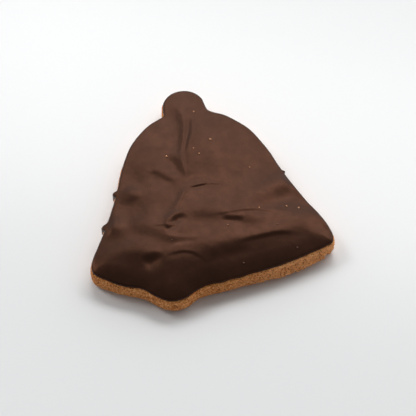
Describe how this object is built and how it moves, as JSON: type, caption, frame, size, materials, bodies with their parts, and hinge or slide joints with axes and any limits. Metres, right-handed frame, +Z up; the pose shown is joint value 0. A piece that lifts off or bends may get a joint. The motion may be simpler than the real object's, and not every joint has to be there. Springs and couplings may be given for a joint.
{
  "type": "lebkuchen",
  "caption": "Flat bell-shaped gingerbread biscuit with a wavy dark chocolate coat on its top face and a bare, porous, baked side",
  "frame": {"origin": "on the floor, under the middle of the part's box", "axes": "+Z up, +Y along the bell to its knob, +X to the right seen from above; the clapper hangs out of the rim towards -Y, left of the middle"},
  "size_m": [0.082, 0.0878, 0.01],
  "materials": {
    "biscuit": "matt, porous, baked",
    "chocolate": "satin, poured"
  },
  "bodies": {
    "root": {"biscuit": "biscuit", "chocolate_coat": "chocolate"}
  },
  "joints": []
}
